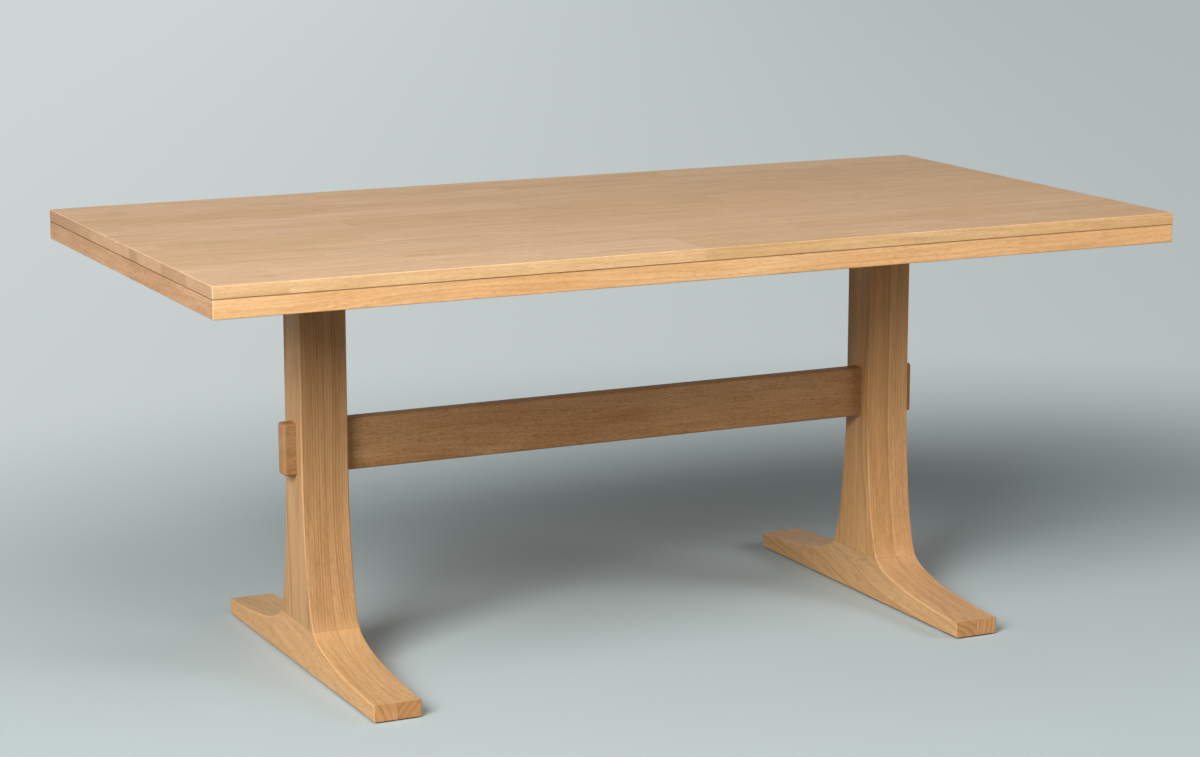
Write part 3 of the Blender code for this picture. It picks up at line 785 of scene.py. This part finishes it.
def add_boards():
    """The panel's boards, closed up to touch each other, eased along the panel's rim."""
    count = sum(1 for node in frame["nodes"] if node.startswith("top_board_"))
    inserts = [f"{side}_bearer_{end}_insert" for side in SIDES for end in ENDS]
    inserts += [f"centre_batten_{end}_insert" for end in ENDS]
    for number in range(1, count + 1):
        node = f"top_board_{number}"
        low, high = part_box(node)
        rims = {"left", "right"}
        if number == 1:
            rims.add("back")
        else:
            high.y += GLUE_GAP / 2
        if number == count:
            rims.add("front")
        else:
            low.y -= GLUE_GAP / 2
        levels = [(inset, low.z + lift) for inset, lift in ease_steps(PANEL_LOWER_EASE)]
        levels += [(inset, high.z - drop) for inset, drop in reversed(ease_steps(PANEL_EASE))]
        rings = [[(x, y, z) for x, y in rim_outline(low, high, rims, inset)] for inset, z in levels]
        mesh = stacked(f"{node}_mesh", rings)
        held = [n for n in inserts if low.y - INSERT_REACH < centre_of(n).y < high.y + INSERT_REACH]
        mesh = carved(mesh, [bore(n, ALONG_Z, CUT_MARGIN, GLUE_GAP) for n in held])
        middle = (low + high) / 2
        # The rim tone paints a highlight on the boards' eased edges
        material = wood(
            f"panel wood {number}", PANEL, "x", (middle.y, low.z - PANEL_PITH_DROP),
            faces={"X": END_TINT, "Y": EDGE_TINT}, rim=RIM_HIGHLIGHT, specular=PANEL_SPECULAR,
            stave_shift=BOARD_STAVE * BOARD_STARTS[number - 1] - BOARD_JOINT,
            end_tone=END_TONES[number - 1], **PANEL_FIGURE,
        )
        add_piece(node, mesh, material)


BAND_STAVE = 1.7
BAND_JOINT = 0.578
BAND_START = 2
BAND_TURNS = {"front": 0.0, "right": math.pi / 2, "back": math.pi, "left": -math.pi / 2}
BAND_PITH_SHARE = 0.9
BAND_PITH_DROP = 0.03
BAND_FIGURE = {
    "ring_width": 0.0060,
    "contrast": 0.50,
    "wander": 0.050,
    "stave_length": BAND_STAVE,
    "stave_shift": BAND_STAVE * BAND_START - BAND_JOINT,
    "stave_tone": 0.11,
    "stave_spread": 0.05,
}
LONG_BAND_FIGURE = {**BAND_FIGURE, "streaks": 0.46, "flecks": 0.14, "shortness": 1.8}
END_BAND_FIGURE = {**BAND_FIGURE, "streaks": 0.65, "flecks": 0.24, "shortness": 3.0}


def band_outline(half_length, distance, inset):
    """The plan of a front band: its inner side, and its outer side with half of each round corner."""
    inner = distance - BAND_WIDTH
    inner_half = half_length - BAND_WIDTH
    radius = CORNER_ROUND - min(inset, BAND_EASE)
    out = distance - inset
    half = half_length - inset
    points = [(inner_half, -inner), (-inner_half, -inner)]
    steps = EASE_SEGMENTS // 2
    for way, start in ((-1, 1.25 * math.pi), (1, 1.5 * math.pi)):
        for step in range(steps + 1):
            turn = start + math.pi / 4 * step / steps
            x = way * (half - radius) + radius * math.cos(turn)
            points.append((x, -out + radius * (1 + math.sin(turn))))
    return points


def add_bands():
    """The four mitred bands under the panel's rim, grooved along their top outer edge."""
    half_length = cad_box[1].x
    half_width = cad_box[1].y
    for end, turn in BAND_TURNS.items():
        node = f"{end}_edge_band"
        low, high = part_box(node)
        middle = (low + high) / 2
        if end in ENDS:
            half, distance = half_length, half_width
            palette, axis, across, figure = LONG_BAND, "x", middle.y, LONG_BAND_FIGURE
        else:
            half, distance = half_width, half_length
            palette, axis, across, figure = END_BAND, "y", middle.x, END_BAND_FIGURE
        groove = high.z - GROOVE_HEIGHT
        levels = [(inset, low.z + lift) for inset, lift in ease_steps(BAND_EASE)]
        levels += [(0.0, groove), (GROOVE_DEPTH, groove), (GROOVE_DEPTH, high.z)]
        place = Matrix.Rotation(turn, 4, "Z")
        rings = []
        for inset, z in levels:
            rings.append([place @ Vector((x, y, z)) for x, y in band_outline(half, distance, inset)])
        mesh = stacked(f"{node}_mesh", rings)
        # The line at the band's top is painted shade inside its groove, and the rim tone a painted
        # highlight
        material = wood(
            f"{end} band wood", palette, axis, (across * BAND_PITH_SHARE, low.z - BAND_PITH_DROP),
            line=("Z", high.z, GROOVE_HEIGHT + GLUE_GAP, GROOVE_SHADE), rim=RIM_HIGHLIGHT, **figure,
        )
        add_piece(node, mesh, material)


# Pedestals

def mirrored(half):
    """A closed outline from the half with positive y, read from its top middle down."""
    return half + [(-y, z) for y, z in reversed(half)]


def post_half(seam, top):
    """Half of a post's outline: straight, then flaring down to the seam corner."""
    start = (POST_HALF_DEPTH, FLARE_TOP)
    slope = Vector((math.cos(SEAM_SLOPE), -math.sin(SEAM_SLOPE)))
    pull = Vector(seam) - slope * FLARE_SEAM_PULL
    flare = bezier(start, (POST_HALF_DEPTH, FLARE_TOP - FLARE_TOP_PULL), pull, seam)
    return [(POST_HALF_DEPTH, top), start] + flare


def foot_half(seam, tip, base):
    """Half of a foot's outline: the instep from the seam corner to the tip, then down to the base."""
    slope = Vector((math.cos(SEAM_SLOPE), -math.sin(SEAM_SLOPE)))
    pull = Vector(seam) + slope * INSTEP_SEAM_PULL
    back = Vector((-math.cos(INSTEP_END_SLOPE), math.sin(INSTEP_END_SLOPE))) * INSTEP_END_PULL
    return [seam] + bezier(seam, pull, Vector(tip) + back, tip) + [(tip[0], base)]


def slab(name, outline, face_x, glue_x, kept_sharp):
    """A board between two planes of constant x, its outer face eased but at heights kept sharp."""
    shape = bmesh.new()
    face = [shape.verts.new((face_x, y, z)) for y, z in outline]
    glue = [shape.verts.new((glue_x, y, z)) for y, z in outline]
    shape.faces.new(face)
    shape.faces.new(list(reversed(glue)))
    count = len(outline)
    for i in range(count):
        j = (i + 1) % count
        shape.faces.new((face[j], face[i], glue[i], glue[j]))
    bmesh.ops.recalc_face_normals(shape, faces=shape.faces)
    outer = set(face)
    eased = [
        edge for edge in shape.edges
        if edge.verts[0] in outer and edge.verts[1] in outer
        and not all(any(abs(v.co.z - z) < SHARP_TOLERANCE for z in kept_sharp) for v in edge.verts)
    ]
    bmesh.ops.bevel(
        shape, geom=eased, offset=PEDESTAL_EASE, segments=EASE_SEGMENTS,
        profile=ROUND_PROFILE, affect="EDGES", clamp_overlap=False,
    )
    return new_mesh(name, shape)


def mortise():
    """A cutter for the stretcher's way through the posts."""
    low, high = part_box("stretcher")
    room = Vector((CUT_MARGIN, MORTISE_CLEARANCE, MORTISE_CLEARANCE))
    return rounded_box("mortise", low - room, high + room, STRETCHER_ROUND)


def lock_bolt_bores(side):
    """Cutters for a lock bolt's head and shank."""
    node = f"{side}_lock_bolt"
    low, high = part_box(node)
    centre = centre_of(node)
    head = (high.x - low.x) / 2 + HEAD_CLEARANCE
    shank = SHANK_RADIUS + GLUE_GAP
    seat = high.y - HEAD_HEIGHT
    return [
        cylinder("head_recess", centre, ALONG_Y, head, seat, seat + CUT_MARGIN),
        cylinder("shank_bore", centre, ALONG_Y, shank, low.y - GLUE_GAP, seat + GLUE_GAP),
    ]


def leveller_bores(side):
    """Cutters for the levellers' inserts and the stems above them."""
    cutters = []
    for end in ENDS:
        insert = f"{side}_{end}_leveller_insert"
        stem_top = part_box(f"{side}_{end}_leveller")[1].z + STEM_HEADROOM
        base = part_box(insert)[0].z
        stem = SHANK_RADIUS + GLUE_GAP
        cutters.append(bore(insert, ALONG_Z, CUT_MARGIN, GLUE_GAP))
        cutters.append(cylinder("stem_bore", centre_of(insert), ALONG_Z, stem, base, stem_top))
    return cutters


def half_planes(side, node):
    """The x of a half's outer face and of its glued face, and the sign of the way out."""
    low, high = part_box(node)
    if (low.x + high.x) / 2 < centre_of(f"{side}_bearer").x:
        return low.x, high.x, -1.0
    return high.x, low.x, 1.0


POST_PITH_OUT = 0.25
POST_SHIFT = 3.1
POST_FIGURE = {"ring_width": 0.0036, "wander": 0.02, "streaks": 0.60, "flecks": 0.16, "shortness": 0.4}


def add_post(side, layer):
    """One half of a post."""
    node = f"{side}_post_{layer}_half"
    low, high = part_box(node)
    face_x, glue_x, outward = half_planes(side, node)
    outline = mirrored(post_half((high.y, low.z), high.z))
    mesh = slab(f"{node}_mesh", outline, face_x, glue_x, (low.z, high.z))
    cutters = [mortise()]
    cutters += [bore(f"{side}_bearer_dowel_{n}", ALONG_Z, GLUE_GAP, CUT_MARGIN) for n in (1, 2)]
    cutters += [bore(f"{side}_foot_dowel_{n}", ALONG_Z, CUT_MARGIN, GLUE_GAP) for n in (1, 2)]
    if layer == "inner":
        cutters += lock_bolt_bores(side)
    pith = (face_x + outward * POST_PITH_OUT, 0.0)
    # Painted light and shade: the tone per side, the front and back faces' tint and the paler eased edges
    material = wood(
        f"{side} {layer} post wood", toned(POST, POST_LIGHT_AND_SHADE[side]), "z", pith,
        shift=POST_SHIFT * ((face_x + glue_x) / 2), line=("X", glue_x, GLUE_LINE, POST_GLUE_TONE),
        faces={"Y": POST_FRONT_SHADE}, rim=POST_RIM_HIGHLIGHT, swept=True,
        contrast=POST_CONTRASTS[side], **POST_FIGURE,
    )
    add_piece(node, carved(mesh, cutters), material)


FOOT_PITHS = {
    "left": {"outer": (0.035, 0.02), "inner": (0.12, -0.03)},
    "right": {"outer": (0.12, -0.02), "inner": (0.022, 0.05)},
}
FOOT_WANDER = {"left": 0.070, "right": 0.110}
FOOT_END_TONES = {"outer": 1.08, "inner": 0.95}
FOOT_SHIFT = 2.3
FOOT_LEAN = -0.14
FOOT_FIGURE = {"ring_width": 0.0125, "contrast": 0.44, "streaks": 0.58, "flecks": 0.18}


def add_foot(side, layer):
    """One half of a foot."""
    node = f"{side}_foot_{layer}_half"
    low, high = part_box(node)
    face_x, glue_x, outward = half_planes(side, node)
    seam = (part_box(f"{side}_post_{layer}_half")[1].y, high.z)
    outline = mirrored(foot_half(seam, (high.y, low.z + FOOT_END_HEIGHT), low.z))
    mesh = slab(f"{node}_mesh", outline, face_x, glue_x, (high.z,))
    cutters = [bore(f"{side}_foot_dowel_{n}", ALONG_Z, GLUE_GAP, CUT_MARGIN) for n in (1, 2)]
    cutters += leveller_bores(side)
    pith_out, pith_up = FOOT_PITHS[side][layer]
    pith = (face_x + outward * pith_out, pith_up)
    # Painted light and shade: the tone per side, the tints of the sides and upward faces and the paler
    # eased edges; the end tint is end grain
    material = wood(
        f"{side} {layer} foot wood", toned(FOOT, FOOT_SHADE[side]), "y", pith,
        shift=FOOT_SHIFT * ((face_x + glue_x) / 2), lean=FOOT_LEAN,
        line=("X", glue_x, GLUE_LINE, FOOT_GLUE_TONE),
        faces={"X": FOOT_SIDE_LIGHT[side], "Y": FOOT_END_TINT, "Z": FOOT_TOP_LIGHT[side]},
        rim=FOOT_RIM_HIGHLIGHT, swept=True,
        wander=FOOT_WANDER[side], end_tone=FOOT_END_TONES[layer], **FOOT_FIGURE,
    )
    add_piece(node, carved(mesh, cutters), material)


STRETCHER_PITH_Y = -0.06
STRETCHER_PITH_DROP = 0.01
STRETCHER_SPECULAR = 0.12
STRETCHER_FIGURE = {
    "ring_width": 0.0055,
    "contrast": 0.55,
    "wander": 0.04,
    "streaks": 0.60,
    "flecks": 0.26,
    "shortness": 3.2,
    "end_tone": 1.25,
}


def add_stretcher():
    """The stretcher with its round edges and proud ends."""
    low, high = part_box("stretcher")
    mesh = rounded_box("stretcher_mesh", low, high, STRETCHER_ROUND)
    cutters = [bore(f"{side}_tenon_insert", ALONG_Y, GLUE_GAP, CUT_MARGIN) for side in SIDES]
    material = wood(
        "stretcher wood", STRETCHER, "x", (STRETCHER_PITH_Y, low.z - STRETCHER_PITH_DROP),
        specular=STRETCHER_SPECULAR, **STRETCHER_FIGURE,
    )
    add_piece("stretcher", carved(mesh, cutters), material)


# Hardware

def add_bolt(node, axis):
    """A bolt with a low head and a hexagon socket; its head is at the lower end, or at the back."""
    low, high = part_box(node)
    centre = centre_of(node)
    length = high[axis] - low[axis]
    radius = (high.x - low.x) / 2
    if axis == ALONG_Z:
        place = Matrix.Translation((centre.x, centre.y, low.z))
    else:
        place = Matrix.Translation((centre.x, high.y, centre.z)) @ Matrix.Rotation(math.pi / 2, 4, "X")
    socket = SOCKET_HALF_WIDTH
    rings = [
        (socket, SOCKET_DEPTH, "hexagon"),
        (socket, SOCKET_CHAMFER, "hexagon"),
        (socket + SOCKET_CHAMFER, 0.0, "hexagon"),
    ]
    rings += quarter_round(radius, 0.0, HEAD_ROUND)
    rings += [(radius, HEAD_HEIGHT, "round")]
    rings += thread_rings(HEAD_HEIGHT, length - THREAD_PITCH)
    rings += [(SHANK_RADIUS - THREAD_DEPTH, length, "round")]
    add_piece(node, turned(f"{node}_mesh", rings, place), STEEL)


def add_leveller(node):
    """A leveller: a round pad on a threaded stem."""
    low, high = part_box(node)
    centre = centre_of(node)
    radius = (high.x - low.x) / 2
    place = Matrix.Translation((centre.x, centre.y, low.z))
    rings = quarter_round(radius, 0.0, PAD_ROUND)
    rings += quarter_round(radius, PAD_THICKNESS, PAD_ROUND, down=True)
    rings += thread_rings(PAD_THICKNESS, high.z - low.z - THREAD_PITCH)
    rings += [(SHANK_RADIUS - THREAD_DEPTH, high.z - low.z, "round")]
    add_piece(node, turned(f"{node}_mesh", rings, place), NYLON)


def add_hardware():
    """Bolts and levellers as finer pieces."""
    for side in SIDES:
        add_bolt(f"{side}_lock_bolt", ALONG_Y)
        for end in ENDS:
            add_leveller(f"{side}_{end}_leveller")
    for rail in RAILS:
        for end in ENDS:
            add_bolt(f"{rail}_{end}_bolt", ALONG_Z)


RAIL_PITH_ASIDE = 0.07
RAIL_PITH_DROP = 0.02
RAIL_SHIFT = 1.7
DOWEL_FIGURE = {"ring_width": 0.004, "contrast": 0.5}


def dress_kept_nodes():
    """Materials for the rails, dowels and inserts, which keep their CAD shape."""
    for number, rail in enumerate(RAILS):
        low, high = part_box(rail)
        middle = (low + high) / 2
        pith = (middle.x + RAIL_PITH_ASIDE, low.z - RAIL_PITH_DROP)
        dress(rail, wood(f"{rail} wood", STRETCHER, "y", pith, shift=number * RAIL_SHIFT))
    dowel_wood = wood("dowel wood", PANEL, "z", (0.0, 0.0), **DOWEL_FIGURE)
    for node, slot in SLOTS.items():
        if slot == "dowel_wood":
            dress(node, dowel_wood)
        if slot == "insert_brass":
            dress(node, BRASS)


# Floor, light and camera

def background_rays(tree):
    """One for rays that may see the plain backdrop: camera, glossy and transmission rays."""
    rays = put(tree, "ShaderNodeLightPath").outputs
    seen = calc(tree, "MAXIMUM", rays["Is Camera Ray"], rays["Is Glossy Ray"])
    return calc(tree, "MAXIMUM", seen, rays["Is Transmission Ray"])


def backdrop_colour(tree, place, span):
    """The backdrop's colour at a place or direction: paler on the left, darker on the right."""
    across = put(tree, "ShaderNodeVectorMath", {0: place, 1: BACKDROP_ACROSS}, operation="DOT_PRODUCT")
    turn = step_up(tree, across.outputs["Value"], -span, span)
    return mix(tree, turn, (*BACKDROP_LEFT, 1.0), (*BACKDROP_RIGHT, 1.0))


def add_world():
    """Soft light from all round, behind a plain pale backdrop."""
    world = bpy.data.worlds.new("studio")
    bpy.context.scene.world = world
    world.use_nodes = True
    tree = world.node_tree
    tree.nodes.clear()
    direction = put(tree, "ShaderNodeTexCoord").outputs["Generated"]
    turn = step_up(tree, parted(tree, direction)["Y"], *AMBIENT_TURN)
    ambient = mix(tree, turn, (*AMBIENT_FRONT, 1.0), (*AMBIENT_BACK, 1.0))
    colour = mix(tree, background_rays(tree), ambient, backdrop_colour(tree, direction, BACKDROP_SPAN))
    background = put(tree, "ShaderNodeBackground", {"Color": colour, "Strength": 1.0})
    put(tree, "ShaderNodeOutputWorld", {"Surface": background.outputs[0]})


def floor_material():
    """Matt pale floor that fades into the backdrop away from the table."""
    material = bpy.data.materials.new("pale floor")
    material.use_nodes = True
    tree = material.node_tree
    shader = tree.nodes["Principled BSDF"]
    place = put(tree, "ShaderNodeTexCoord").outputs["Object"]
    seen = background_rays(tree)
    tint = mix(tree, seen, (*FLOOR_BOUNCE, 1.0), (*FLOOR_COLOUR, 1.0))
    mottle = spread(tree, noise(tree, place, FLOOR_MOTTLE_SCALE, detail=3.0)[0], *FLOOR_MOTTLE)
    tree.links.new(scaled(tree, tint, mottle), shader.inputs["Base Color"])
    shader.inputs["Roughness"].default_value = FLOOR_ROUGHNESS
    shader.inputs["Specular IOR Level"].default_value = FLOOR_SPECULAR
    distance = length_of(tree, vector(tree, "SUBTRACT", place, FLOOR_FADE_CENTRE))
    fade = calc(tree, "MULTIPLY", step_up(tree, distance, *FLOOR_FADE), seen)
    far_colour = backdrop_colour(tree, place, FLOOR_SPAN)
    glow = put(tree, "ShaderNodeEmission", {"Color": far_colour, "Strength": 1.0})
    blend = put(tree, "ShaderNodeMixShader", {0: fade, 1: shader.outputs[0], 2: glow.outputs[0]})
    tree.links.new(blend.outputs[0], tree.nodes["Material Output"].inputs["Surface"])
    return material


def add_floor():
    """A wide disc that the table stands on."""
    shape = bmesh.new()
    bmesh.ops.create_circle(shape, cap_ends=True, radius=FLOOR_RADIUS, segments=FLOOR_SEGMENTS)
    mesh = new_mesh("floor_mesh", shape)
    mesh.materials.append(floor_material())
    floor = bpy.data.objects.new("floor", mesh)
    bpy.context.scene.collection.objects.link(floor)


def add_lamps():
    """Soft square lamps aimed at the table, one of them without a sheen on the wood."""
    for name, wanted in LAMPS.items():
        lamp = bpy.data.lights.new(name, "AREA")
        lamp.shape = "SQUARE"
        lamp.size = wanted["size"]
        lamp.energy = wanted["power"]
        lamp.color = LAMP_COLOUR
        holder = bpy.data.objects.new(name, lamp)
        holder.location = wanted["place"]
        holder.visible_camera = False
        holder.visible_glossy = wanted["sheen"]
        holder.rotation_euler = (LIGHT_AIM - wanted["place"]).to_track_quat("-Z", "Y").to_euler()
        bpy.context.scene.collection.objects.link(holder)


def add_camera():
    """The camera at the photograph's angle."""
    data = bpy.data.cameras.new("camera")
    data.lens = CAMERA_LENS
    data.sensor_width = SENSOR_WIDTH
    data.sensor_fit = "HORIZONTAL"
    camera = bpy.data.objects.new("camera", data)
    camera.location = CAMERA_PLACE
    camera.rotation_euler = (math.pi / 2 - CAMERA_TILT, 0.0, -CAMERA_TURN)
    bpy.context.scene.collection.objects.link(camera)
    bpy.context.scene.camera = camera


add_boards()
add_bands()
for side in SIDES:
    for layer in LAYERS:
        add_post(side, layer)
        add_foot(side, layer)
add_stretcher()
add_hardware()
dress_kept_nodes()
add_floor()
add_world()
add_lamps()
add_camera()
bpy.context.scene.view_settings.view_transform = "Standard"
